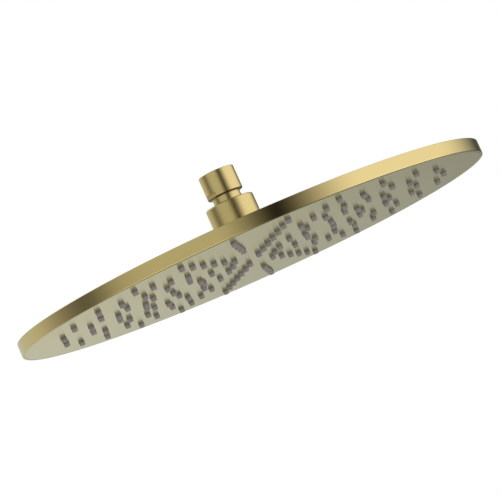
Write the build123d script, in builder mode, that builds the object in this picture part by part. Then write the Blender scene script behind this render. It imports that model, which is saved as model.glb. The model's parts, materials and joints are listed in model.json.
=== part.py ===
from build123d import *
import os
from math import acos, cos, degrees, radians, sqrt, tan

# Rain shower head on a ball joint: a slim round spray head that hangs from a threaded inlet.
# Millimetres. +Z runs up the inlet axis, and the origin is where the inlet thread begins.

# Inlet thread, G 1/2 female, modelled at its minor diameter
thread_radius = 9.316
thread_length = 9.0
thread_entry = 0.8
thread_relief = 0.5

# Inlet nut with two wrench flats at its lower end
nut_wall = 1.934
nut_length = 15.2
nut_edge_break = 0.5
nut_foot_chamfer = 0.6
flat_depth = 1.15
flat_height = 3.1
flat_angle = 25.6

# Sealing washer, filter and flow regulator inside the nut
washer_thickness = 2.0
washer_overlap = 0.7
washer_clearance = 0.1
insert_clearance = 0.05
filter_height = 1.2
filter_rim_width = 0.9
filter_sheet = 0.4
filter_hole_size = 2.0
filter_hole_pitch = 3.6
filter_hole_count = 6
regulator_height = 4.2
regulator_wall = 1.0
regulator_floor = 1.4
regulator_post_radius = 1.7
regulator_port_size = 1.5
regulator_port_count = 6
regulator_ring_height = 1.6
regulator_ring_clearance = 0.2

# Ball joint: neck, ball, friction ring above and seal cup below
neck_radius = 8.8
neck_wall = 1.8
neck_gap = 4.7
ball_radius = 12.0
ball_depth = 8.0
ball_clearance = 0.05
waterway_seat = 2.5
outlet_land = 1.0
ring_wall = 1.0
ring_low_angle = 3.0
ring_high_angle = 23.0
cup_wall = 1.6
cup_low_angle = -59.0
cup_high_angle = -35.0
largest_lean = 17.0
lean_clearance = 0.3

# Swivel collar, screwed down on the inlet boss
collar_height = 28.8
collar_wall = 2.15
collar_top_edge = 1.0
collar_clearance = 0.05

# Inlet boss, which passes up through the back shell
boss_bore_radius = 6.0
boss_drop = 6.0
boss_flange_width = 5.0
boss_flange_thickness = 1.8
gasket_thickness = 0.8
shell_hole_clearance = 0.1

# Spray head: back shell with its rim, and the face plate set into the rim
head_radius = 150.0
head_thickness = 8.2
shell_skin = 1.0
rim_wall = 2.4
rim_top_edge = 0.3
rim_face_edge = 0.8
plate_thickness = 1.0
plate_ledge = 1.0
plate_clearance = 0.05

# Stays that hold the shell and the face plate apart under water pressure
stay_radius = 3.0
stay_sides = 6
inner_stay_count = 6
inner_stay_ring = 2.5
outer_stay_count = 12
outer_stay_ring = 5.5

# Silicone nozzles: tapered plugs held in the plate by their wider inner ends
nozzle_tip_radius = 1.7
nozzle_root_radius = 1.95
nozzle_drop = 2.5
nozzle_head = 1.0
nozzle_sides = 6
nozzle_clearance = 0.05
nozzle_margin = 25.8
arm_angle = 15.0
ring_counts = (6, 12, 12, 24, 24, 24, 24)
ring_start_arms = (2, 0, 0, 0, 0, 0, 0)

# Heights and radii worked out from the sizes above
rim_z = thread_entry
nut_foot_z = rim_z - nut_length
thread_end_z = -thread_length
seat_z = thread_end_z - washer_thickness - washer_clearance
insert_floor_z = seat_z - filter_height - regulator_height
collar_top_z = nut_foot_z - neck_gap
ball_z = collar_top_z - ball_depth
shell_top_z = collar_top_z - collar_height
shell_under_z = shell_top_z - shell_skin
face_z = shell_top_z - head_thickness
plate_top_z = face_z + plate_thickness
nut_radius = thread_radius + nut_wall
relief_radius = thread_radius + thread_relief
insert_radius = neck_radius - neck_wall
insert_fit_radius = insert_radius - insert_clearance
waterway_radius = insert_radius - waterway_seat
outlet_radius = waterway_radius + outlet_land
ball_socket_radius = ball_radius + ball_clearance
cup_outer_radius = ball_socket_radius + cup_wall
dish_radius = cup_outer_radius + ball_clearance
boss_radius = ball_socket_radius + ring_wall
collar_bore_radius = boss_radius + collar_clearance
collar_radius = collar_bore_radius + collar_wall
flange_radius = boss_radius + boss_flange_width
shell_hole_radius = boss_radius + shell_hole_clearance
plate_rebate_radius = head_radius - rim_wall + plate_ledge
ring_pitch = (head_radius - nozzle_margin) / len(ring_counts)


def neck_reach(height):
    """Return how far the leaning neck reaches from the axis, at a height above the ball's centre."""
    lean = radians(largest_lean)
    return neck_radius / cos(lean) + height * tan(lean) + lean_clearance


def nozzle_places(ring):
    """Return the polar pattern of one nozzle ring, counted from the middle outwards."""
    radius = (ring + 1) * ring_pitch
    start = ring_start_arms[ring] * arm_angle
    return PolarLocations(radius, ring_counts[ring], start_angle=start)


# Ball connector: inlet nut, neck and ball turned from one bar
with BuildPart() as ball_connector:
    with BuildSketch(Plane.XZ):
        with BuildLine():
            neck_meets_ball = degrees(acos(neck_radius / ball_radius))
            outlet_meets_ball = -degrees(acos(outlet_radius / ball_radius))
            ball = CenterArc((0, ball_z), ball_radius, neck_meets_ball, outlet_meets_ball - neck_meets_ball)
            Polyline(
                ball @ 1,
                (waterway_radius, (ball @ 1).Y),
                (waterway_radius, insert_floor_z),
                (insert_radius, insert_floor_z),
                (insert_radius, seat_z),
                (relief_radius, seat_z),
                (relief_radius, thread_end_z),
                (thread_radius, thread_end_z),
                (thread_radius, 0),
                (thread_radius + thread_entry, rim_z),
                (nut_radius - nut_edge_break, rim_z),
                (nut_radius, rim_z - nut_edge_break),
                (nut_radius, nut_foot_z + nut_foot_chamfer),
                (nut_radius - nut_foot_chamfer, nut_foot_z),
                (neck_radius, nut_foot_z),
                ball @ 0,
            )
        make_face()
    revolve(axis=Axis.Z)
    with BuildSketch(Plane.XY.offset(nut_foot_z)):
        across_flats = 2 * (nut_radius - flat_depth)
        Circle(2 * nut_radius)
        Rectangle(4 * nut_radius, across_flats, rotation=flat_angle - 90, mode=Mode.SUBTRACT)
    extrude(amount=flat_height, mode=Mode.SUBTRACT)

# Inlet washer: the seal that the shower arm presses on
with BuildPart() as inlet_washer:
    with BuildSketch(Plane.XY.offset(seat_z)):
        Circle(thread_radius)
        Circle(insert_radius - washer_overlap, mode=Mode.SUBTRACT)
    extrude(amount=washer_thickness)

# Filter screen: a perforated disc in a rim, held down by the washer
with BuildPart() as filter_screen:
    with BuildSketch(Plane.XY.offset(seat_z - filter_height)):
        Circle(insert_fit_radius)
        Circle(insert_fit_radius - filter_rim_width, mode=Mode.SUBTRACT)
    extrude(amount=filter_height)
    with BuildSketch(Plane.XY.offset(seat_z - filter_sheet)):
        Circle(insert_fit_radius)
        Rectangle(filter_hole_size, filter_hole_size, mode=Mode.SUBTRACT)
        with PolarLocations(filter_hole_pitch, filter_hole_count):
            Rectangle(filter_hole_size, filter_hole_size, mode=Mode.SUBTRACT)
    extrude(amount=filter_sheet)

# Flow regulator: a cup with ports in its floor and a post that centres the rubber ring
with BuildPart() as flow_regulator:
    with BuildSketch(Plane.XY.offset(insert_floor_z)):
        Circle(insert_fit_radius)
    extrude(amount=regulator_height)
    with BuildSketch(Plane.XY.offset(insert_floor_z + regulator_floor)):
        Circle(insert_fit_radius - regulator_wall)
        Circle(regulator_post_radius, mode=Mode.SUBTRACT)
    extrude(amount=regulator_height - regulator_floor, mode=Mode.SUBTRACT)
    with BuildSketch(Plane.XY.offset(insert_floor_z)):
        with PolarLocations((regulator_post_radius + waterway_radius) / 2, regulator_port_count):
            Rectangle(regulator_port_size, regulator_port_size)
    extrude(amount=regulator_floor, mode=Mode.SUBTRACT)

# Regulator ring: rubber, pressed towards the ports as the flow grows
with BuildPart() as regulator_ring:
    with BuildSketch(Plane.XY.offset(insert_floor_z + regulator_floor)):
        Circle(waterway_radius)
        Circle(regulator_post_radius + regulator_ring_clearance, mode=Mode.SUBTRACT)
    extrude(amount=regulator_ring_height)

# Friction ring: plastic seat that holds the ball from above
with BuildPart() as friction_ring:
    with BuildSketch(Plane.XZ):
        with BuildLine():
            sweep_angle = ring_high_angle - ring_low_angle
            seat = CenterArc((0, ball_z), ball_socket_radius, ring_low_angle, sweep_angle)
            ring_top_radius = (seat @ 1).X
            ring_top_z = (seat @ 1).Y
            Polyline(seat @ 1, (boss_radius, ring_top_z), (boss_radius, (seat @ 0).Y), seat @ 0)
        make_face()
    revolve(axis=Axis.Z)

# Seal cup: rubber zone of a sphere between the ball and the boss
with BuildPart() as seal_cup:
    with BuildSketch(Plane.XZ):
        with BuildLine():
            sweep_angle = cup_high_angle - cup_low_angle
            inside = CenterArc((0, ball_z), ball_socket_radius, cup_low_angle, sweep_angle)
            outside = CenterArc((0, ball_z), cup_outer_radius, cup_low_angle, sweep_angle)
            Line(inside @ 0, outside @ 0)
            Line(inside @ 1, outside @ 1)
        make_face()
    revolve(axis=Axis.Z)

# Swivel collar: sleeve with a lip over the friction ring and a mouth that lets the neck lean
with BuildPart() as swivel_collar:
    shoulder_z = ring_top_z + collar_clearance
    lip_radius = max(neck_reach(shoulder_z - ball_z), ring_top_radius + lean_clearance)
    with BuildSketch(Plane.XZ):
        with BuildLine():
            Polyline(
                (collar_bore_radius, shell_top_z),
                (collar_radius, shell_top_z),
                (collar_radius, collar_top_z),
                (neck_reach(ball_depth), collar_top_z),
                (lip_radius, shoulder_z),
                (collar_bore_radius, shoulder_z),
                close=True,
            )
        make_face()
    revolve(axis=Axis.Z)
    top_edges = swivel_collar.edges().filter_by(GeomType.CIRCLE).group_by(Axis.Z)[-1]
    chamfer(top_edges.sort_by(SortBy.RADIUS)[-1], collar_top_edge)

# Inlet boss: threaded hub with a dished top for the seal cup and a flange under the shell
with BuildPart() as inlet_boss:
    flange_top_z = shell_under_z - gasket_thickness
    boss_top_z = ball_z - boss_drop
    dish_edge_radius = sqrt(dish_radius**2 - boss_drop**2)
    with BuildSketch(Plane.XZ):
        with BuildLine():
            dish_low = -degrees(acos(boss_bore_radius / dish_radius))
            dish_high = -degrees(acos(dish_edge_radius / dish_radius))
            dish = CenterArc((0, ball_z), dish_radius, dish_low, dish_high - dish_low)
            Polyline(
                dish @ 1,
                (boss_radius, boss_top_z),
                (boss_radius, flange_top_z),
                (flange_radius, flange_top_z),
                (flange_radius, flange_top_z - boss_flange_thickness),
                (boss_bore_radius, flange_top_z - boss_flange_thickness),
                dish @ 0,
            )
        make_face()
    revolve(axis=Axis.Z)

# Hub gasket: seals the boss flange to the inside of the shell
with BuildPart() as hub_gasket:
    with BuildSketch(Plane.XY.offset(flange_top_z)):
        Circle(flange_radius)
        Circle(shell_hole_radius, mode=Mode.SUBTRACT)
    extrude(amount=gasket_thickness)

# Back shell: pressed pan with a straight rim, rebated inside for the face plate
with BuildPart() as back_shell:
    with BuildSketch(Plane.XZ):
        with BuildLine():
            Polyline(
                (shell_hole_radius, shell_top_z),
                (head_radius - rim_top_edge, shell_top_z),
                (head_radius, shell_top_z - rim_top_edge),
                (head_radius, face_z + rim_face_edge),
                (head_radius - rim_face_edge, face_z),
                (plate_rebate_radius, face_z),
                (plate_rebate_radius, plate_top_z),
                (head_radius - rim_wall, plate_top_z),
                (head_radius - rim_wall, shell_under_z),
                (shell_hole_radius, shell_under_z),
                close=True,
            )
        make_face()
    revolve(axis=Axis.Z)

# Stay posts: hexagon stays between the shell and the face plate, clear of the nozzles
with BuildPart() as stay_posts:
    with BuildSketch(Plane.XY.offset(plate_top_z)):
        with PolarLocations(inner_stay_ring * ring_pitch, inner_stay_count, start_angle=arm_angle):
            RegularPolygon(stay_radius, stay_sides)
        with PolarLocations(outer_stay_ring * ring_pitch, outer_stay_count, start_angle=arm_angle / 2):
            RegularPolygon(stay_radius, stay_sides)
    extrude(amount=shell_under_z - plate_top_z)


def nozzle_plug(gap):
    """Return one tapered nozzle in the middle of the face, with a gap added all round."""
    taper = (nozzle_root_radius - nozzle_tip_radius) / nozzle_drop
    inner_radius = nozzle_root_radius + taper * (plate_thickness + nozzle_head)
    with BuildPart() as plug:
        with BuildSketch(Plane.XY.offset(face_z - nozzle_drop)):
            RegularPolygon(nozzle_tip_radius + gap, nozzle_sides)
        with BuildSketch(Plane.XY.offset(plate_top_z + nozzle_head)):
            RegularPolygon(inner_radius + gap, nozzle_sides)
        loft(ruled=True)
    return plug.part


# Spray nozzles: grey silicone, in seven rings on arms that thin out towards the middle
nozzle = nozzle_plug(0)
with BuildPart() as spray_nozzles:
    for ring in range(len(ring_counts)):
        with nozzle_places(ring):
            add(nozzle)

# Face plate: flat disc seated on the rim's ledge, with a tapered hole for each nozzle
nozzle_hole = nozzle_plug(nozzle_clearance)
with BuildPart() as face_plate:
    with BuildSketch(Plane.XY.offset(face_z)):
        Circle(plate_rebate_radius - plate_clearance)
    extrude(amount=plate_thickness)
    for ring in range(len(ring_counts)):
        with nozzle_places(ring):
            add(nozzle_hole, mode=Mode.SUBTRACT)

pieces = {
    "ball_connector": ball_connector,
    "inlet_washer": inlet_washer,
    "filter_screen": filter_screen,
    "flow_regulator": flow_regulator,
    "regulator_ring": regulator_ring,
    "friction_ring": friction_ring,
    "seal_cup": seal_cup,
    "swivel_collar": swivel_collar,
    "inlet_boss": inlet_boss,
    "hub_gasket": hub_gasket,
    "back_shell": back_shell,
    "stay_posts": stay_posts,
    "spray_nozzles": spray_nozzles,
    "face_plate": face_plate,
}
os.makedirs("parts", exist_ok=True)
for label, piece in pieces.items():
    piece.part.label = label
    export_step(piece.part, f"parts/{label}.step")
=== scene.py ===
import json
from math import pi, radians

import bpy
import numpy as np
from mathutils import Matrix, Vector


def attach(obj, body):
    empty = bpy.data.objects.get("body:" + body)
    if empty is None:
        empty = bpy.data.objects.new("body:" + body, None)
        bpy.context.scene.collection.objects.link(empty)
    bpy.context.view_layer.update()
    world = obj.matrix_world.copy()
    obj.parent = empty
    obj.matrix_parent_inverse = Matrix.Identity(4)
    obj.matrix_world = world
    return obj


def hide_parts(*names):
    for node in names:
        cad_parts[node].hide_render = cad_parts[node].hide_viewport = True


# Rain shower head on a ball joint. Sizes are in millimetres, and each mesh is written in metres.
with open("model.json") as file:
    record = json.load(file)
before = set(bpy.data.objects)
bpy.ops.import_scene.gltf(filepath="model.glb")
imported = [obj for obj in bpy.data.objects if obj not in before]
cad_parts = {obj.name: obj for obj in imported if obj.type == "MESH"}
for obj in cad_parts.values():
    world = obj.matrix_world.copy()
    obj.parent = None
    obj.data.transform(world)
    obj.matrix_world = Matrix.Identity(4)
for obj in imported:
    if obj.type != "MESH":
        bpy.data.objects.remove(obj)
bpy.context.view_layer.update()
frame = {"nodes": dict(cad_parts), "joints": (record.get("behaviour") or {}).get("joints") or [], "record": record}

# Ball connector: the inlet nut, the neck and the ball, turned from one bar of brass, brushed round and
# coated pale gold. A pipe thread is cut inside the nut, and two wrench flats are milled into its foot. Under
# the foot, a painted shade darkens the coat's colour where shade falls.
MM = 0.001
NUT_RADIUS = 11.25
NUT_FOOT = -14.4
NUT_TOP_EDGE = 0.5
NUT_FOOT_EDGE = 0.6
NUT_FOOT_ROUND = 0.15
FOOT_PAINTED_SHADE = 0.3
FOOT_PAINTED_SHADE_SOFT = 0.15
FLAT_REACH = 10.1
FLAT_TOP = -11.3
FLAT_LEDGE_SLOPE = 0.03
FLAT_ANGLE = radians(25.6)
NECK_RADIUS = 8.8
NECK_FILLET = 0.3
BALL_RADIUS = 12.0
OUTLET_RADIUS = 5.5
OUTLET_EDGE = 0.1
WATERWAY_RADIUS = 4.5
INSERT_RADIUS = 7.0
INSERT_FLOOR = -16.5
WASHER_SEAT = -11.1
RELIEF_RADIUS = 9.816
THREAD_DEPTH = 1.162
THREAD_PITCH = 1.814
THREAD_ENTRY = 0.8
THREAD_RUNOUT = 1.2
THREAD_STEPS = 14
ENTRY_STEPS = 8
TURNED_COLUMNS = 240
SHARP_ANGLE = radians(32)
CHORD_ERROR = 0.004
NEAR = 1e-6
GOLD_DARK = (0.76, 0.6, 0.265, 1)
GOLD_LIGHT = (0.81, 0.65, 0.295, 1)
GOLD_EDGE = (0.9, 0.95, 0.8, 1)
STREAK_CONTRAST = 0.15
STREAK_STRENGTH = 0.02
STREAK_DEPTH = 0.02
BRUSHED_PULL = 0.4
QUARTER_TURN = 0.25
thread_mount = frame["record"]["mounts"][0]["dims"]
thread_radius = thread_mount["r_mm"]
thread_end = -thread_mount["length_mm"]
ball_height = frame["joints"][0]["pos_m"][2] / MM


def rounded(corners, radii):
    """Round the corners of a closed outline that runs counter-clockwise in the plane of radius and height.
    At each corner the arc's centre lies on the bisector of the two sides, one radius from both. Its points
    are the centre plus the radius times a normal that turns evenly from one side's to the other's."""
    corners = np.asarray(corners, float)
    along = np.roll(corners, -1, axis=0) - corners
    along /= np.linalg.norm(along, axis=1, keepdims=True)
    before = np.roll(along, 1, axis=0)
    cross = before[:, 0] * along[:, 1] - before[:, 1] * along[:, 0]
    turns = np.arctan2(cross, (before * along).sum(axis=1))
    arcs = []
    for corner, start, side, turn, radius in zip(corners, before, along, turns, radii):
        signed = radius * np.sign(turn)
        normals = np.array([[start[1], -start[0]], [side[1], -side[0]]])
        centre = corner - signed * normals.sum(axis=0) / (1 + normals[0] @ normals[1])
        facet = 2 * np.arccos(1 - min(1, CHORD_ERROR / max(radius, CHORD_ERROR)))
        steps = int(np.ceil(abs(turn) / facet)) + 1
        angle = np.arctan2(normals[0, 1], normals[0, 0]) + np.linspace(0, turn, steps + 1)
        arcs.append(centre + signed * np.stack([np.cos(angle), np.sin(angle)], axis=1))
    outline = np.concatenate(arcs)
    apart = np.linalg.norm(outline - np.roll(outline, 1, axis=0), axis=1) > NEAR
    return outline[apart]


def straight(first, last, count):
    """Corners evenly spaced on the line from first to last, both ends included."""
    return np.linspace(first, last, count)


def swept_round(radius, height, angle):
    """Points of a surface of revolution: x and y are the radius times cosine and sine of the angle."""
    height = np.broadcast_to(height, radius.shape)
    return np.stack([radius * np.cos(angle), radius * np.sin(angle), height], axis=-1)


def ring_quads(rows, columns, closed):
    """Quads of a grid whose columns close on themselves, as its rows do if it is closed. Each joins row i
    and column j to the next column, then to the next row."""
    index = np.arange(rows * columns).reshape(rows, columns)
    beside = np.roll(index, -1, axis=1)
    quads = np.stack([index, beside, np.roll(beside, -1, axis=0), np.roll(index, -1, axis=0)], axis=-1)
    return quads[: rows if closed else rows - 1].reshape(-1, 4)


def new_piece(name, points, faces, body, material):
    """Make a mesh object from points in millimetres, shade it smooth between its sharp edges and set it on
    its body."""
    mesh = bpy.data.meshes.new(name)
    mesh.from_pydata(points.reshape(-1, 3) * MM, [], faces)
    mesh.shade_smooth()
    mesh.set_sharp_from_angle(angle=SHARP_ANGLE)
    mesh.materials.append(material)
    piece = bpy.data.objects.new(name, mesh)
    bpy.context.scene.collection.objects.link(piece)
    even = piece.modifiers.new("even_shading", "WEIGHTED_NORMAL")
    even.keep_sharp = True
    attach(piece, body)
    return piece


def node(tree, kind, inputs, **options):
    """Add a shader node, set its options, and fill its inputs with values or with links."""
    made = tree.nodes.new(kind)
    for option, value in options.items():
        setattr(made, option, value)
    for name, value in inputs.items():
        if isinstance(value, bpy.types.NodeSocket):
            tree.links.new(value, made.inputs[name])
        else:
            made.inputs[name].default_value = value
    return made


def brushed_metal(name, dark, light, edge_tint, roughness, streak_length, streak_width):
    """Metal brushed round its axis. The streaks are noise that changes slowly along x and y, over the
    streak's length, and fast across the brushing, over its width: distance from the axis plus height."""
    material = bpy.data.materials.new(name)
    material.use_nodes = True
    tree = material.node_tree
    shader = tree.nodes["Principled BSDF"]
    place = node(tree, "ShaderNodeTexCoord", {}).outputs["Object"]
    level = node(tree, "ShaderNodeVectorMath", {0: place, 1: (1, 1, 0)}, operation="MULTIPLY").outputs[0]
    distance = node(tree, "ShaderNodeVectorMath", {0: level}, operation="LENGTH").outputs["Value"]
    height = node(tree, "ShaderNodeSeparateXYZ", {0: place}).outputs["Z"]
    across = node(tree, "ShaderNodeMath", {0: distance, 1: height}, operation="ADD").outputs[0]
    lines = node(tree, "ShaderNodeMath", {0: across, 1: 1 / (streak_width * MM)}, operation="MULTIPLY")
    slow = node(tree, "ShaderNodeVectorMath", {
        0: level, "Scale": 1 / (streak_length * MM),
    }, operation="SCALE")
    lift = node(tree, "ShaderNodeCombineXYZ", {"Z": lines.outputs[0]})
    where = node(tree, "ShaderNodeVectorMath", {0: slow.outputs[0], 1: lift.outputs[0]}, operation="ADD")
    streaks = node(tree, "ShaderNodeTexNoise", {"Vector": where.outputs[0], "Scale": 1.0, "Detail": 3.0})
    streak = streaks.outputs["Fac"]
    colour = node(tree, "ShaderNodeMix", {"Factor": streak, "A": dark, "B": light}, data_type="RGBA")
    gloss = node(tree, "ShaderNodeMapRange", {
        "Value": streak,
        "To Min": roughness * (1 - STREAK_CONTRAST),
        "To Max": roughness * (1 + STREAK_CONTRAST),
    })
    relief = node(tree, "ShaderNodeBump", {
        "Height": streak, "Strength": STREAK_STRENGTH, "Distance": STREAK_DEPTH * MM,
    })
    ring = node(tree, "ShaderNodeTangent", {}, direction_type="RADIAL", axis="Z")
    tree.links.new(colour.outputs["Result"], shader.inputs["Base Color"])
    tree.links.new(gloss.outputs["Result"], shader.inputs["Roughness"])
    tree.links.new(relief.outputs["Normal"], shader.inputs["Normal"])
    tree.links.new(ring.outputs["Tangent"], shader.inputs["Tangent"])
    shader.inputs["Metallic"].default_value = 1.0
    shader.inputs["Specular Tint"].default_value = edge_tint
    shader.inputs["Anisotropic"].default_value = BRUSHED_PULL
    shader.inputs["Anisotropic Rotation"].default_value = QUARTER_TURN
    return material


def painted_shade_band(material, middle, half, soft, shade):
    """Paint shade into a material's colour round one height. Up to half a width from the middle its colour is
    multiplied by the shade, and over the soft width beyond that the factor rises smoothly to one."""
    tree = material.node_tree
    shader = tree.nodes["Principled BSDF"]
    colour = shader.inputs["Base Color"].links[0].from_socket
    place = node(tree, "ShaderNodeTexCoord", {}).outputs["Object"]
    height = node(tree, "ShaderNodeSeparateXYZ", {0: place}).outputs["Z"]
    offset = node(tree, "ShaderNodeMath", {0: height, 1: middle * MM}, operation="SUBTRACT").outputs[0]
    away = node(tree, "ShaderNodeMath", {0: offset}, operation="ABSOLUTE").outputs[0]
    factor = node(tree, "ShaderNodeMapRange", {
        "Value": away, "From Min": half * MM, "From Max": (half + soft) * MM, "To Min": shade,
    }, interpolation_type="SMOOTHSTEP").outputs["Result"]
    shaded = node(tree, "ShaderNodeVectorMath", {0: colour, "Scale": factor}, operation="SCALE")
    tree.links.new(shaded.outputs[0], shader.inputs["Base Color"])


gold_brass = brushed_metal(
    "brushed_gold_brass", GOLD_DARK, GOLD_LIGHT, GOLD_EDGE,
    roughness=0.28, streak_length=12, streak_width=0.12,
)
# Painted shade: the colour is darkened round the nut's foot chamfer, where shade falls under the nut.
painted_shade_band(gold_brass, NUT_FOOT + NUT_FOOT_EDGE / 2, NUT_FOOT_EDGE / 2, FOOT_PAINTED_SHADE_SOFT, FOOT_PAINTED_SHADE)

nut_top = THREAD_ENTRY
outlet_height = ball_height - np.sqrt(BALL_RADIUS**2 - OUTLET_RADIUS**2)
neck_foot = ball_height + np.sqrt(BALL_RADIUS**2 - NECK_RADIUS**2)
outlet_angle = np.arctan2(outlet_height - ball_height, OUTLET_RADIUS)
neck_angle = np.arctan2(neck_foot - ball_height, NECK_RADIUS)
ball_middle = (neck_angle + outlet_angle) / 2
ball_corner = BALL_RADIUS / np.cos((neck_angle - outlet_angle) / 2)
entry_radius = thread_radius + THREAD_ENTRY
thread_rows = 1 + int(np.ceil(-thread_end / THREAD_PITCH * THREAD_STEPS))
outside = np.array([
    [WATERWAY_RADIUS, outlet_height],
    [OUTLET_RADIUS, outlet_height],
    [ball_corner * np.cos(ball_middle), ball_height + ball_corner * np.sin(ball_middle)],
    [NECK_RADIUS, neck_foot],
    [NECK_RADIUS, NUT_FOOT],
    [NUT_RADIUS - NUT_FOOT_EDGE, NUT_FOOT],
    [NUT_RADIUS, NUT_FOOT + NUT_FOOT_EDGE],
    [NUT_RADIUS, FLAT_TOP - FLAT_LEDGE_SLOPE],
    [NUT_RADIUS, FLAT_TOP],
    [NUT_RADIUS, nut_top],
])
thread_entry = straight([entry_radius, nut_top], [thread_radius, 0], ENTRY_STEPS)
thread_wall = straight([thread_radius, 0], [thread_radius, thread_end], thread_rows)[1:]
inside = np.array([
    [RELIEF_RADIUS, thread_end],
    [RELIEF_RADIUS, WASHER_SEAT],
    [INSERT_RADIUS, WASHER_SEAT],
    [INSERT_RADIUS, INSERT_FLOOR],
    [WATERWAY_RADIUS, INSERT_FLOOR],
])
connector_edges = np.concatenate([
    [OUTLET_EDGE, 0, BALL_RADIUS, 0],
    [NECK_FILLET, NUT_FOOT_ROUND, NUT_FOOT_ROUND, 0, 0, NUT_TOP_EDGE],
    np.zeros(len(thread_entry) + len(thread_wall) + len(inside)),
])
outline = rounded(np.concatenate([outside, thread_entry, thread_wall, inside]), connector_edges)
flat_half = np.arccos(FLAT_REACH / NUT_RADIUS)
flat_edges = FLAT_ANGLE + np.array([-flat_half, flat_half, pi - flat_half, pi + flat_half])
even_angle = np.linspace(0, 2 * pi, TURNED_COLUMNS, endpoint=False)
turned_angle = np.unique(np.concatenate([even_angle, flat_edges]))
profile, height = outline[:, :1], outline[:, 1:]
# The thread deepens its wall by a raised cosine of height over pitch less the angle, fading out at its end.
# The wrench flats cut the foot down to their reach divided by the cosine of the angle from them.
in_thread = (
    (profile <= entry_radius + NEAR)
    & (profile >= thread_radius - NEAR)
    & (height >= thread_end - NEAR)
)
runout = np.clip((height - thread_end) / THREAD_RUNOUT, 0, 1)
wave = 0.5 - 0.5 * np.cos(2 * pi * height / THREAD_PITCH - turned_angle)
groove = thread_radius + THREAD_DEPTH * wave * runout
in_foot = (
    (height < FLAT_TOP - FLAT_LEDGE_SLOPE / 2)
    & (height > NUT_FOOT - NEAR)
    & (profile > NECK_RADIUS)
)
facing = np.abs(np.cos(turned_angle - FLAT_ANGLE))
flat = FLAT_REACH / np.maximum(facing, NEAR)
radius = np.where(in_thread, np.maximum(profile, groove), profile)
radius = np.where(in_foot, np.minimum(radius, flat), radius)
connector_points = swept_round(radius, height, turned_angle)
connector_quads = ring_quads(*radius.shape, closed=True)
connector = new_piece(
    "gold_ball_connector", connector_points, connector_quads, "inlet", gold_brass
)
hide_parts("ball_connector")

# Inlet washer: a flat ring of black rubber, stamped from sheet, with edges that the shower arm has rounded.
# It lies on the seat at the foot of the thread.
WASHER_BORE = 6.3
WASHER_TOP = -9.1
WASHER_EDGE = 0.3
WASHER_COLUMNS = 120
RUBBER_DARK = (0.018, 0.018, 0.018, 1)
RUBBER_LIGHT = (0.04, 0.04, 0.038, 1)
CLOUD_GRAINS = 8
MOULDED_CONTRAST = 0.08
MOULDED_STRENGTH = 0.3


def moulded(name, dark, light, roughness, grain_size, relief_depth):
    """Rubber or plastic: coarse noise mixes a dark and a light shade, and noise of one grain size makes the
    roughness and a fine relief."""
    material = bpy.data.materials.new(name)
    material.use_nodes = True
    tree = material.node_tree
    shader = tree.nodes["Principled BSDF"]
    place = node(tree, "ShaderNodeTexCoord", {}).outputs["Object"]
    cloud = node(tree, "ShaderNodeTexNoise", {
        "Vector": place, "Scale": 1 / (CLOUD_GRAINS * grain_size * MM), "Detail": 2.0,
    })
    grain = node(tree, "ShaderNodeTexNoise", {
        "Vector": place, "Scale": 1 / (grain_size * MM), "Detail": 2.0,
    })
    colour = node(tree, "ShaderNodeMix", {
        "Factor": cloud.outputs["Fac"], "A": dark, "B": light,
    }, data_type="RGBA")
    gloss = node(tree, "ShaderNodeMapRange", {
        "Value": grain.outputs["Fac"],
        "To Min": roughness - MOULDED_CONTRAST,
        "To Max": roughness + MOULDED_CONTRAST,
    })
    relief = node(tree, "ShaderNodeBump", {
        "Height": grain.outputs["Fac"], "Strength": MOULDED_STRENGTH, "Distance": relief_depth * MM,
    })
    tree.links.new(colour.outputs["Result"], shader.inputs["Base Color"])
    tree.links.new(gloss.outputs["Result"], shader.inputs["Roughness"])
    tree.links.new(relief.outputs["Normal"], shader.inputs["Normal"])
    return material


def turned_piece(name, corners, radii, columns, body, material):
    """Carry a rounded outline round the axis and make it a piece."""
    shape = rounded(corners, radii)
    angle = np.linspace(0, 2 * pi, columns, endpoint=False)
    rim = np.repeat(shape[:, :1], columns, axis=1)
    points = swept_round(rim, shape[:, 1:], angle)
    return new_piece(name, points, ring_quads(*rim.shape, closed=True), body, material)


black_rubber = moulded(
    "black_rubber", RUBBER_DARK, RUBBER_LIGHT, roughness=0.6, grain_size=0.4, relief_depth=0.03
)
washer = turned_piece("rubber_inlet_washer", [
    [WASHER_BORE, WASHER_SEAT],
    [thread_radius, WASHER_SEAT],
    [thread_radius, WASHER_TOP],
    [WASHER_BORE, WASHER_TOP],
], [WASHER_EDGE] * 4, WASHER_COLUMNS, "inlet", black_rubber)
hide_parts("inlet_washer")

# Filter screen: a disc of woven stainless wire, pressed into a folded stainless rim. It drops into the
# pocket under the washer and keeps grit out of the regulator.
FILTER_RADIUS = 6.95
FILTER_RIM = 0.9
FILTER_FOOT = -12.3
FILTER_EDGE = 0.2
FILTER_COLUMNS = 96
WIRE_RADIUS = 0.11
WIRE_PITCH = 0.62
WIRE_SIDES = 6
WIRE_STEPS = 8
WIRE_TUCK = 0.1
WIRE_COVER = 0.2
STEEL_DARK = (0.5, 0.5, 0.5, 1)
STEEL_LIGHT = (0.66, 0.66, 0.65, 1)
SATIN_CONTRAST = 0.06


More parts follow.
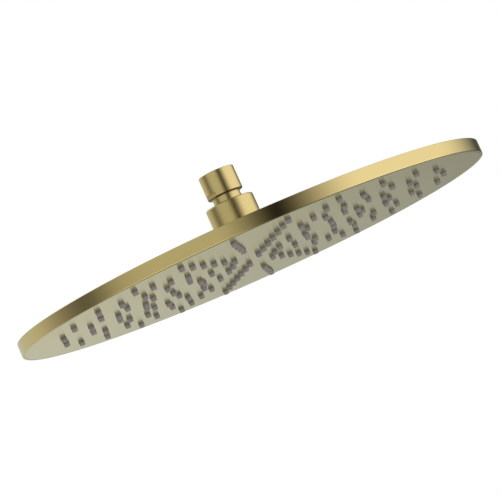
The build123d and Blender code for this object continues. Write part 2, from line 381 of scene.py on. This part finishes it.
def satin_steel(name, dark, light, roughness, grain_size):
    """Bare metal with a fine even grain: noise mixes two greys and varies the roughness."""
    material = bpy.data.materials.new(name)
    material.use_nodes = True
    tree = material.node_tree
    shader = tree.nodes["Principled BSDF"]
    place = node(tree, "ShaderNodeTexCoord", {}).outputs["Object"]
    grain = node(tree, "ShaderNodeTexNoise", {
        "Vector": place, "Scale": 1 / (grain_size * MM), "Detail": 3.0,
    })
    colour = node(tree, "ShaderNodeMix", {
        "Factor": grain.outputs["Fac"], "A": dark, "B": light,
    }, data_type="RGBA")
    gloss = node(tree, "ShaderNodeMapRange", {
        "Value": grain.outputs["Fac"],
        "To Min": roughness - SATIN_CONTRAST,
        "To Max": roughness + SATIN_CONTRAST,
    })
    tree.links.new(colour.outputs["Result"], shader.inputs["Base Color"])
    tree.links.new(gloss.outputs["Result"], shader.inputs["Roughness"])
    shader.inputs["Metallic"].default_value = 1.0
    return material


plain_stainless = satin_steel("plain_stainless", STEEL_DARK, STEEL_LIGHT, roughness=0.32, grain_size=0.3)
filter_inner = FILTER_RADIUS - FILTER_RIM
filter_rim = turned_piece("steel_filter_rim", [
    [filter_inner, FILTER_FOOT],
    [FILTER_RADIUS, FILTER_FOOT],
    [FILTER_RADIUS, WASHER_SEAT],
    [filter_inner, WASHER_SEAT],
], [FILTER_EDGE] * 4, FILTER_COLUMNS, "inlet", plain_stainless)
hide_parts("filter_screen")


def woven_wires(reach, level, phase):
    """Tubes of one family of a plain weave. A wire runs along x, its middle rises and falls as a cosine of
    the crossing wires' pitch, and every second wire is shifted by half a wave. A ring of points is carried
    along it."""
    count = int(reach / WIRE_PITCH)
    offset = np.arange(-count, count + 1)[:, None, None] * WIRE_PITCH
    half = np.sqrt(reach**2 - offset**2)
    step = np.linspace(-1, 1, WIRE_STEPS * count)[None, :, None]
    side = np.linspace(0, 2 * pi, WIRE_SIDES, endpoint=False)[None, None, :]
    x = half * step
    every_second = np.round(offset / WIRE_PITCH) % 2
    wave = WIRE_RADIUS * np.cos(pi * (x / WIRE_PITCH + every_second + phase))
    y = offset + WIRE_RADIUS * np.cos(side)
    z = level + wave + WIRE_RADIUS * np.sin(side)
    return np.stack(np.broadcast_arrays(x, y, z), axis=-1)


def copies(quads, count, step):
    """Repeat the faces of one shape for every copy, each with its own run of point numbers."""
    return (quads + np.arange(count)[:, None, None] * step).reshape(-1, quads.shape[-1])


screen_level = WASHER_SEAT - (2 + WIRE_COVER) * WIRE_RADIUS
screen_reach = filter_inner + WIRE_TUCK
along_wires = woven_wires(screen_reach, screen_level, 0)
cross_wires = woven_wires(screen_reach, screen_level, 1)[..., [1, 0, 2]][..., ::-1, :]
wires = np.concatenate([along_wires, cross_wires])
wire_count, wire_steps, wire_sides = wires.shape[:3]
tube = ring_quads(wire_steps, wire_sides, closed=False)[:, ::-1]
wire_quads = copies(tube, wire_count, wire_steps * wire_sides)
new_piece("steel_filter_mesh", wires, wire_quads, "inlet", plain_stainless)

# Flow regulator: an off-white acetal cup with ports in its floor, and the black rubber ring that throttles
# them. Both are moulded and drop into the pocket under the filter.
ACETAL_DARK = (0.78, 0.78, 0.74, 1)
ACETAL_LIGHT = (0.86, 0.86, 0.83, 1)


def finish_node(name, material):
    """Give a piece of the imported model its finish."""
    materials = frame["nodes"][name].data.materials
    materials.clear()
    materials.append(material)


white_acetal = moulded(
    "white_acetal", ACETAL_DARK, ACETAL_LIGHT, roughness=0.42, grain_size=0.5, relief_depth=0.01
)
finish_node("flow_regulator", white_acetal)
finish_node("regulator_ring", black_rubber)

# Ball seats: the acetal friction ring that holds the ball from above, and the black rubber cup that seals it
# from below. Both are moulded, and the collar presses them on the ball.
finish_node("friction_ring", white_acetal)
finish_node("seal_cup", black_rubber)

# Inlet boss and hub gasket: a turned brass hub, left bare, that passes up through the back shell and carries
# the collar, and the rubber gasket under the shell that its flange squeezes.
BRASS_DARK = (0.66, 0.47, 0.17, 1)
BRASS_LIGHT = (0.76, 0.57, 0.25, 1)
BRASS_EDGE = (1, 1, 1, 1)
plain_brass = brushed_metal(
    "plain_brass", BRASS_DARK, BRASS_LIGHT, BRASS_EDGE, roughness=0.3, streak_length=10, streak_width=0.15
)
finish_node("inlet_boss", plain_brass)
finish_node("hub_gasket", black_rubber)

# Swivel collar: a brass sleeve, turned, brushed round and coated like the nut. Its lip holds the friction
# ring, and it screws down over the boss until it clamps the back shell.
COLLAR_RADIUS = 15.25
COLLAR_BORE = 13.1
COLLAR_TOP = -19.1
COLLAR_SHOULDER = -22.34
LIP_RADIUS = 11.39
MOUTH_RADIUS = 11.95
COLLAR_FOOT_EDGE = 0.2
COLLAR_TOP_EDGE = 1.0
MOUTH_EDGE = 0.4
LIP_EDGE = 0.1
SHELL_TOP = -47.9
collar_edges = [COLLAR_FOOT_EDGE, COLLAR_FOOT_EDGE, COLLAR_TOP_EDGE, MOUTH_EDGE, LIP_EDGE, LIP_EDGE]
collar = turned_piece("gold_swivel_collar", [
    [COLLAR_BORE, SHELL_TOP],
    [COLLAR_RADIUS, SHELL_TOP],
    [COLLAR_RADIUS, COLLAR_TOP],
    [MOUTH_RADIUS, COLLAR_TOP],
    [LIP_RADIUS, COLLAR_SHOULDER],
    [COLLAR_BORE, COLLAR_SHOULDER],
], collar_edges, TURNED_COLUMNS, "head", gold_brass)
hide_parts("swivel_collar")

# Back shell: a pan pressed from stainless sheet, with a straight rim whose lower edge is rolled round and
# rebated inside for the face plate. It is brushed round and coated pale gold.
HEAD_RADIUS = 150.0
SHELL_UNDER = -48.9
SHELL_HOLE = 13.15
RIM_INNER = 147.6
REBATE_RADIUS = 148.6
PLATE_TOP = -55.1
FACE = -56.1
SHELL_HOLE_FOOT_EDGE = 0.1
SHELL_HOLE_TOP_EDGE = 0.2
PAN_FILLET = 0.6
LEDGE_EDGE = 0.1
REBATE_EDGE = 0.25
RIM_EDGE = 0.6
RIM_TOP_EDGE = 0.3
RIM_COLUMNS = 480
SPAN_POINTS = 10
gold_sheet = brushed_metal(
    "brushed_gold_sheet", GOLD_DARK, GOLD_LIGHT, GOLD_EDGE,
    roughness=0.13, streak_length=40, streak_width=0.16,
)
shell_top = straight([HEAD_RADIUS, SHELL_TOP], [SHELL_HOLE, SHELL_TOP], SPAN_POINTS)
shell_under = straight([SHELL_HOLE, SHELL_UNDER], [RIM_INNER, SHELL_UNDER], SPAN_POINTS)
shell_rim = [
    [RIM_INNER, PLATE_TOP],
    [REBATE_RADIUS, PLATE_TOP],
    [REBATE_RADIUS, FACE],
    [HEAD_RADIUS, FACE],
]
span_edges = [0] * (SPAN_POINTS - 2)
under_edges = [SHELL_HOLE_FOOT_EDGE, *span_edges, PAN_FILLET]
rim_edges = [LEDGE_EDGE, 0, REBATE_EDGE, RIM_EDGE]
top_edges = [RIM_TOP_EDGE, *span_edges, SHELL_HOLE_TOP_EDGE]
shell_corners = np.concatenate([shell_under, shell_rim, shell_top])
shell_edges = under_edges + rim_edges + top_edges
shell = turned_piece(
    "gold_back_shell", shell_corners, shell_edges, RIM_COLUMNS, "head", gold_sheet
)
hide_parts("back_shell")

# Stay posts: short hexagon stays of plain stainless, welded between the shell and the face plate, which keep
# the head from bulging under water pressure.
finish_node("stay_posts", plain_stainless)

# Face plate: a flat disc of stainless sheet with one punched hole for each nozzle, brushed and coated like
# the shell, and seated in the rim's rebate. Its holes stand on seven rings and twenty-four arms.
PLATE_RADIUS = 148.55
PLATE_EDGE = 0.3
PLATE_BACK_EDGE = 0.1
HOLE_RADIUS = 1.95
HOLE_EDGE = 0.12
LAST_RING = 124.2
ARM_COUNT = 24
RING_ARMS = ((2, 4), (0, 2), (0, 2), (0, 1), (0, 1), (0, 1), (0, 1))
CELL_SIDE = 6
EIGHTH_TURN = 0.125
WELD_DIGITS = 5
gold_plate = brushed_metal(
    "brushed_gold_plate", GOLD_DARK, GOLD_LIGHT, GOLD_EDGE,
    roughness=0.14, streak_length=40, streak_width=0.16,
)
ring_pitch = LAST_RING / len(RING_ARMS)
arm_step = 2 * pi / ARM_COUNT
holed = np.zeros((len(RING_ARMS), ARM_COUNT), bool)
for ring, (first_arm, arm_stride) in enumerate(RING_ARMS):
    holed[ring, first_arm::arm_stride] = True
hole_ring, hole_arm = np.nonzero(holed)
plain_ring, plain_arm = np.nonzero(~holed)


def cell_border(ring, arm):
    """Points round a cell of the polar grid of rings and arms: half a pitch in and out of the ring and half
    a step to each side of the arm, evenly spaced on each side, so that neighbouring cells share them."""
    side = np.arange(CELL_SIDE) / CELL_SIDE - 0.5
    out = np.concatenate([np.full(CELL_SIDE, 0.5), -side, np.full(CELL_SIDE, -0.5), side])
    turn = np.concatenate([side, np.full(CELL_SIDE, 0.5), -side, np.full(CELL_SIDE, -0.5)])
    radius = (ring[:, None] + 1 + out) * ring_pitch
    angle = (arm[:, None] + turn) * arm_step
    return np.stack([radius * np.cos(angle), radius * np.sin(angle)], axis=-1)


def hole_circle(ring, arm, radius):
    """Points of each hole's circle, in the order of the cell's border: the circle's angle starts an eighth
    of a turn before the arm's own direction."""
    around = (np.arange(4 * CELL_SIDE) / (4 * CELL_SIDE) - EIGHTH_TURN) * 2 * pi
    direction = arm[:, None] * arm_step + around
    middle_radius = (ring[:, None] + 1) * ring_pitch
    x = middle_radius * np.cos(arm[:, None] * arm_step) + radius * np.cos(direction)
    y = middle_radius * np.sin(arm[:, None] * arm_step) + radius * np.sin(direction)
    return np.stack([x, y], axis=-1)


def at_height(flat_points, height):
    """Lift points of the plane to a height."""
    return np.concatenate([flat_points, np.full(flat_points.shape[:-1] + (1,), height)], axis=-1)


def fan_faces(count):
    """Triangles from point 0 to each of the points round it and the next one."""
    spoke = np.arange(count)
    return np.stack([np.zeros_like(spoke), 1 + spoke, 1 + np.roll(spoke, -1)], axis=1)


border = cell_border(hole_ring, hole_arm)
wide_circle = hole_circle(hole_ring, hole_arm, HOLE_RADIUS + HOLE_EDGE)
circle = hole_circle(hole_ring, hole_arm, HOLE_RADIUS)
holed_cells = np.stack([
    at_height(border, PLATE_TOP),
    at_height(circle, PLATE_TOP),
    at_height(circle, FACE + HOLE_EDGE),
    at_height(wide_circle, FACE),
    at_height(border, FACE),
], axis=1)
cell_rows, cell_columns = holed_cells.shape[1:3]
cell_quads = ring_quads(cell_rows, cell_columns, closed=False)[:, ::-1]
holed_quads = copies(cell_quads, len(border), cell_rows * cell_columns)

plain_border = cell_border(plain_ring, plain_arm)
plain_middle = plain_border.mean(axis=1, keepdims=True)
plain_fan = np.concatenate([plain_middle, plain_border], axis=1)
fan = fan_faces(cell_columns)
hub_angle = np.arange(ARM_COUNT * CELL_SIDE) / (ARM_COUNT * CELL_SIDE) * 2 * pi - arm_step / 2
hub_circle = np.stack([np.cos(hub_angle), np.sin(hub_angle)], axis=-1)
hub = np.concatenate([[[0, 0]], hub_circle * ring_pitch / 2])
hub_fan = fan_faces(len(hub_angle))
edge_outline = rounded([
    [0, FACE],
    [PLATE_RADIUS, FACE],
    [PLATE_RADIUS, PLATE_TOP],
    [0, PLATE_TOP],
], [0, PLATE_EDGE, PLATE_BACK_EDGE, 0])[1:-1]
margin_radius = (len(RING_ARMS) + 0.5) * ring_pitch
margin_outline = np.concatenate([[[margin_radius, FACE]], edge_outline, [[margin_radius, PLATE_TOP]]])
margin_reach = np.repeat(margin_outline[:, :1], len(hub_angle), axis=1)
margin = swept_round(margin_reach, margin_outline[:, 1:], hub_angle)
plate_parts = [
    (holed_cells, holed_quads),
    (at_height(plain_fan, PLATE_TOP), copies(fan, len(plain_fan), 1 + cell_columns)),
    (at_height(plain_fan, FACE), copies(fan[:, ::-1], len(plain_fan), 1 + cell_columns)),
    (at_height(hub, PLATE_TOP), hub_fan),
    (at_height(hub, FACE), hub_fan[:, ::-1]),
    (margin, ring_quads(*margin.shape[:2], closed=False)),
]
starts = np.cumsum([0] + [points.reshape(-1, 3).shape[0] for points, _ in plate_parts])
all_points = np.concatenate([points.reshape(-1, 3) for points, _ in plate_parts])
shared, place_of = np.unique(np.round(all_points, WELD_DIGITS), axis=0, return_inverse=True)
plate_faces = [
    face
    for (_, faces), start in zip(plate_parts, starts)
    for face in place_of[faces + start].tolist()
]
plate = new_piece("gold_face_plate", shared, plate_faces, "head", gold_plate)
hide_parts("face_plate")

# Spray nozzles: soft grey silicone, moulded one by one and pulled through the plate from inside. Each tapers
# to a tip with a water bore of about a millimetre, and its wider inner end holds it. A painted shade darkens
# their colour towards the plate, where shade falls round the roots, so the tips look paler.
NOZZLE_SIDES = 16
BORE_RADIUS = 0.5
BORE_DEPTH = 2.2
TIP = -58.6
TIP_RADIUS = 1.68
TIP_EDGE = 0.14
ROOT_RADIUS = 1.92
HOLE_PLAY = 0.02
INNER_END = -54.1
INNER_RADIUS = 2.1
SILICONE_DARK = (0.34, 0.323, 0.316, 1)
SILICONE_LIGHT = (0.39, 0.371, 0.362, 1)
ROOT_PAINTED_SHADE = 0.55
ROOT_PAINTED_SHADE_REACH = 1.2
grey_silicone = moulded(
    "grey_silicone", SILICONE_DARK, SILICONE_LIGHT, roughness=0.55, grain_size=0.6, relief_depth=0.01
)
# Painted shade: the silicone's colour is darkened near the plate and rises to its full colour towards the tip.
painted_shade_band(grey_silicone, FACE, 0, ROOT_PAINTED_SHADE_REACH, ROOT_PAINTED_SHADE)
nozzle_outline = np.array([
    [BORE_RADIUS, TIP + BORE_DEPTH],
    [BORE_RADIUS, TIP],
    [TIP_RADIUS - TIP_EDGE, TIP],
    [TIP_RADIUS, TIP + TIP_EDGE],
    [ROOT_RADIUS, FACE],
    [HOLE_RADIUS - HOLE_PLAY, PLATE_TOP],
    [INNER_RADIUS, INNER_END],
])
nozzle_angle = np.linspace(0, 2 * pi, NOZZLE_SIDES, endpoint=False)
nozzle_rings = swept_round(
    np.repeat(nozzle_outline[:, :1], NOZZLE_SIDES, axis=1), nozzle_outline[:, 1:], nozzle_angle
).reshape(-1, 3)
nozzle_ends = np.array([[0, 0, TIP + BORE_DEPTH], [0, 0, INNER_END]])
one_nozzle = np.concatenate([nozzle_rings, nozzle_ends])
place_radius = (hole_ring + 1) * ring_pitch
places = np.stack([
    place_radius * np.cos(hole_arm * arm_step),
    place_radius * np.sin(hole_arm * arm_step),
    np.zeros(len(hole_ring)),
], axis=-1)
nozzle_points = places[:, None, :] + one_nozzle
nozzle_walls = ring_quads(len(nozzle_outline), NOZZLE_SIDES, closed=False)
nozzle_column = np.arange(NOZZLE_SIDES)
beside = np.roll(nozzle_column, -1)
last_row = (len(nozzle_outline) - 1) * NOZZLE_SIDES
bore_end = np.stack([np.full(NOZZLE_SIDES, len(nozzle_rings)), beside, nozzle_column], axis=1)
inner_end = np.stack([
    np.full(NOZZLE_SIDES, len(nozzle_rings) + 1), last_row + nozzle_column, last_row + beside,
], axis=1)
nozzle_faces = [
    face
    for part in (nozzle_walls, bore_end, inner_end)
    for face in copies(part, len(places), len(one_nozzle)).tolist()
]
nozzles = new_piece("silicone_nozzles", nozzle_points, nozzle_faces, "head", grey_silicone)
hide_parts("spray_nozzles")

# Floor: a wide disc of plain pale paper under the hanging head. Towards its edge it fades out into the white
# background. It takes the head's shadow, and the metal doesn't mirror it.
FLOOR_HEIGHT = -330
FLOOR_RADIUS = 1300
FLOOR_COLUMNS = 96
FADE_START = 400
FADE_END = 1200
PALE_PAPER = (0.82, 0.82, 0.82, 1)
floor_angle = np.linspace(0, 2 * pi, FLOOR_COLUMNS, endpoint=False)
floor_ring = np.stack([np.cos(floor_angle), np.sin(floor_angle)], axis=-1) * FLOOR_RADIUS
floor_mesh = bpy.data.meshes.new("floor")
floor_mesh.from_pydata(at_height(floor_ring, FLOOR_HEIGHT) * MM, [], [list(range(len(floor_ring)))])
floor = bpy.data.objects.new("floor", floor_mesh)
bpy.context.scene.collection.objects.link(floor)
floor.visible_glossy = False
paper = bpy.data.materials.new("pale_paper")
paper.use_nodes = True
paper_tree = paper.node_tree
paper_shader = paper_tree.nodes["Principled BSDF"]
paper_shader.inputs["Base Color"].default_value = PALE_PAPER
paper_shader.inputs["Roughness"].default_value = 0.9
paper_shader.inputs["Specular IOR Level"].default_value = 0.0
paper_place = node(paper_tree, "ShaderNodeTexCoord", {}).outputs["Object"]
paper_level = node(paper_tree, "ShaderNodeVectorMath", {
    0: paper_place, 1: (1, 1, 0),
}, operation="MULTIPLY")
paper_distance = node(paper_tree, "ShaderNodeVectorMath", {
    0: paper_level.outputs[0],
}, operation="LENGTH")
fade = node(paper_tree, "ShaderNodeMapRange", {
    "Value": paper_distance.outputs["Value"],
    "From Min": FADE_START * MM,
    "From Max": FADE_END * MM,
    "To Min": 1.0,
    "To Max": 0.0,
}, interpolation_type="SMOOTHSTEP")
paper_tree.links.new(fade.outputs["Result"], paper_shader.inputs["Alpha"])
floor_mesh.materials.append(paper)

# Light tent: a closed bowl of cloth round the head, lit from behind as four soft panels with dark gaps
# between them, and as two low boards on the camera's side, under a dim ceiling and over a dark foot. It
# lights the head and shows in the metal, and the camera looks through it.
CAMERA_AZIMUTH = radians(-11.906)
TENT_RADIUS = 3200
TENT_ROWS = 96
TENT_COLUMNS = 360
GAP_LIGHT = 0.01
CREAM = (0.98, 1.0, 0.91)
WHITE = (1.0, 1.0, 1.0)
# Each panel's start, counted from the camera, and its rising, full and falling widths, all in degrees; its
# light below, level with and above the head; and its tint.
PANELS = (
    (-84, 42, 30, 30, (0.55, 0.55, 0.55), CREAM),
    (16, 43, 48, 54, (1.02, 1.02, 1.02), WHITE),
    (149, 43, 28, 66, (0.61, 0.61, 0.61), WHITE),
    (-140, 28, 48, 17, (0.1, 0.1, 0.55), WHITE),
    (-84, 26, 48, 28, (1.0, 0, 0), CREAM),
    (44, 24, 30, 30, (0.6, 0, 0), WHITE),
)
DROP_START = 8
DROP_END = 13
CLIMB_START = 10
CLIMB_END = 28
CEILING_LIGHT = 0.18
CEILING_START = 38
CEILING_END = 62
FOOT_LIGHT = 0.1
FOOT_START = 26
FOOT_END = 50


def soft_step(value, low, high):
    """Rise from 0 at low to 1 at high, level at both ends: three times the share's square less twice its
    cube."""
    share = np.clip((value - low) / (high - low), 0, 1)
    return share * share * (3 - 2 * share)


tent_height = np.radians(np.linspace(-90, 90, TENT_ROWS))[:, None]
tent_turn = np.linspace(0, 2 * pi, TENT_COLUMNS, endpoint=False)[None, :]
tent_reach = np.cos(tent_height) * np.ones_like(tent_turn) * TENT_RADIUS
tent_points = swept_round(tent_reach, np.sin(tent_height) * TENT_RADIUS, tent_turn)
from_camera = np.degrees(tent_turn - CAMERA_AZIMUTH + pi / 2)
elevation = np.degrees(tent_height)
drop = soft_step(-elevation, DROP_START, DROP_END)
climb = soft_step(elevation, CLIMB_START, CLIMB_END)
side_light = np.full((TENT_ROWS, TENT_COLUMNS, 3), GAP_LIGHT)
for start, rise, full, fall, (below, level, above), tint in PANELS:
    past = (from_camera - start) % 360
    share = soft_step(past, 0, rise) - soft_step(past, rise + full, rise + full + fall)
    strength = share * (level + (below - level) * drop + (above - level) * climb)
    side_light += strength[..., None] * np.array(tint)
ceiling = soft_step(elevation, CEILING_START, CEILING_END)[..., None]
foot = soft_step(-elevation, FOOT_START, FOOT_END)[..., None]
glow = side_light * (1 - ceiling - foot) + CEILING_LIGHT * ceiling + FOOT_LIGHT * foot
tent_mesh = bpy.data.meshes.new("light_tent")
tent_quads = ring_quads(TENT_ROWS, TENT_COLUMNS, closed=False)[:, ::-1]
tent_mesh.from_pydata(tent_points.reshape(-1, 3) * MM, [], tent_quads)
tent_glow = tent_mesh.attributes.new("glow", "FLOAT_VECTOR", "POINT")
tent_glow.data.foreach_set("vector", glow.astype(np.float32).ravel())
tent = bpy.data.objects.new("light_tent", tent_mesh)
bpy.context.scene.collection.objects.link(tent)
tent.visible_camera = False
cloth = bpy.data.materials.new("lit_cloth")
cloth.use_nodes = True
cloth_tree = cloth.node_tree
cloth_glow = node(cloth_tree, "ShaderNodeAttribute", {}, attribute_name="glow")
lamp = node(cloth_tree, "ShaderNodeEmission", {"Color": cloth_glow.outputs["Color"]})
cloth_tree.links.new(lamp.outputs["Emission"], cloth_tree.nodes["Material Output"].inputs["Surface"])
tent_mesh.materials.append(cloth)

# Overhead softbox: a wide round lamp high above the head, which lights the floor and the silicone. It is
# hidden from the metal, where the photo shows a dark ceiling.
SOFTBOX_HEIGHT = 2000
SOFTBOX_SIZE = 2500
SOFTBOX_POWER = 42
softbox_light = bpy.data.lights.new("softbox", "AREA")
softbox_light.shape = "DISK"
softbox_light.size = SOFTBOX_SIZE * MM
softbox_light.energy = SOFTBOX_POWER
softbox = bpy.data.objects.new("softbox", softbox_light)
bpy.context.scene.collection.objects.link(softbox)
softbox.location = (0, 0, SOFTBOX_HEIGHT * MM)
softbox.visible_camera = False
softbox.visible_glossy = False

# Background: plain white paper beyond the tent, seen by the camera alone, because the tent closes off all
# else. Colours are shown as they are written.
WHITE_PAPER = (1, 1, 1, 1)
world = bpy.data.worlds.new("white_paper")
world.use_nodes = True
background = world.node_tree.nodes["Background"]
background.inputs["Color"].default_value = WHITE_PAPER
background.inputs["Strength"].default_value = 1.0
bpy.context.scene.world = world
bpy.context.scene.view_settings.view_transform = "Standard"

# Camera: a long lens a little below the spray face, aimed at its middle and rolled about the line of sight.
# Its place was fitted to the rim, the nut and the nozzles in the photo.
IMAGE_SIDE = 500
SENSOR_WIDTH = 36
FOCAL_PIXELS = 2264.5
FACE_MIDDLE_PIXEL = (253.884, 258.094)
CAMERA_DISTANCE = 1357.4
CAMERA_DROP = radians(5.597)
CAMERA_ROLL = radians(24.066)
turn = (
    Matrix.Rotation(CAMERA_AZIMUTH, 3, "Z")
    @ Matrix.Rotation(pi / 2 + CAMERA_DROP, 3, "X")
    @ Matrix.Rotation(-CAMERA_ROLL, 3, "Z")
)
lens = bpy.data.cameras.new("camera")
lens.sensor_width = SENSOR_WIDTH
lens.lens = FOCAL_PIXELS / IMAGE_SIDE * SENSOR_WIDTH
lens.shift_x = 0.5 - FACE_MIDDLE_PIXEL[0] / IMAGE_SIDE
lens.shift_y = FACE_MIDDLE_PIXEL[1] / IMAGE_SIDE - 0.5
camera = bpy.data.objects.new("camera", lens)
bpy.context.scene.collection.objects.link(camera)
camera.location = Vector((0, 0, FACE * MM)) + turn @ Vector((0, 0, CAMERA_DISTANCE * MM))
camera.rotation_euler = turn.to_euler()
bpy.context.scene.camera = camera
